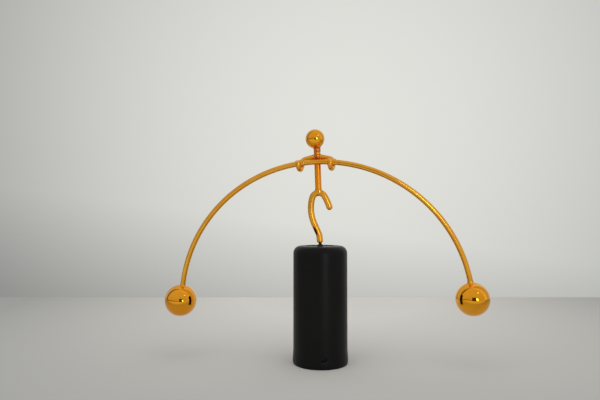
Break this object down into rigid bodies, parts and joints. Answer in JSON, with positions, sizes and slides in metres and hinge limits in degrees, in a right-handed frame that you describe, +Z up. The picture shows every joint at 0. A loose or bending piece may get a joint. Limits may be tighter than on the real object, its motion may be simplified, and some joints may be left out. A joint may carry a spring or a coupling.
{
  "type": "balance figurine",
  "caption": "Gilt wire man standing on one toe on a black base, holding a bowed pole with a heavy ball at each end, so that he rocks, nods and spins without falling.",
  "frame": {"origin": "middle of the base's underside, on the axis that the figure turns about", "axes": "+Z up, +X to the right along the balancing pole, -Y towards the front, where the window in the base is"},
  "size_m": [0.1848, 0.0312, 0.131],
  "materials": {
    "black_shell": "satin black moulded plastic",
    "black_plug": "dull black moulded plastic",
    "cup": "black hard plastic, worn bright where the toe turns",
    "pad": "thin black foam rubber",
    "steel": "plain turned steel",
    "gilt": "bright amber gold plate",
    "braze": "gold plate over lumpy filler metal"
  },
  "bodies": {
    "base": {"base_sleeve": "black_shell", "base_cap": "black_plug", "ballast_slug": "steel", "foot_pad": "pad"},
    "seat": {"pivot_cup": "cup"},
    "tip": {"toe_point": "steel"},
    "figure": {"leg_wire": "gilt", "spine_rod": "gilt", "left_arm": "gilt", "right_arm": "gilt", "bow_rod": "gilt", "left_ball": "gilt", "right_ball": "gilt", "head_ball": "gilt", "hip_braze": "braze", "shoulder_braze": "braze", "neck_braze": "braze", "left_ball_braze": "braze", "right_ball_braze": "braze", "left_hand_braze": "braze", "right_hand_braze": "braze"}
  },
  "joints": [
    {"name": "spin", "type": "hinge", "parent": "base", "child": "seat", "pos_m": [0, 0, 0.067], "axis": [0, 0, 1], "continuous": true},
    {"name": "rock_fore_aft", "type": "hinge", "parent": "seat", "child": "tip", "pos_m": [0, 0, 0.067], "axis": [1, 0, 0], "range_deg": [-30, 25]},
    {"name": "rock_side", "type": "hinge", "parent": "tip", "child": "figure", "pos_m": [0, 0, 0.067], "axis": [0, 1, 0], "range_deg": [-17.4, 20.2]}
  ]
}
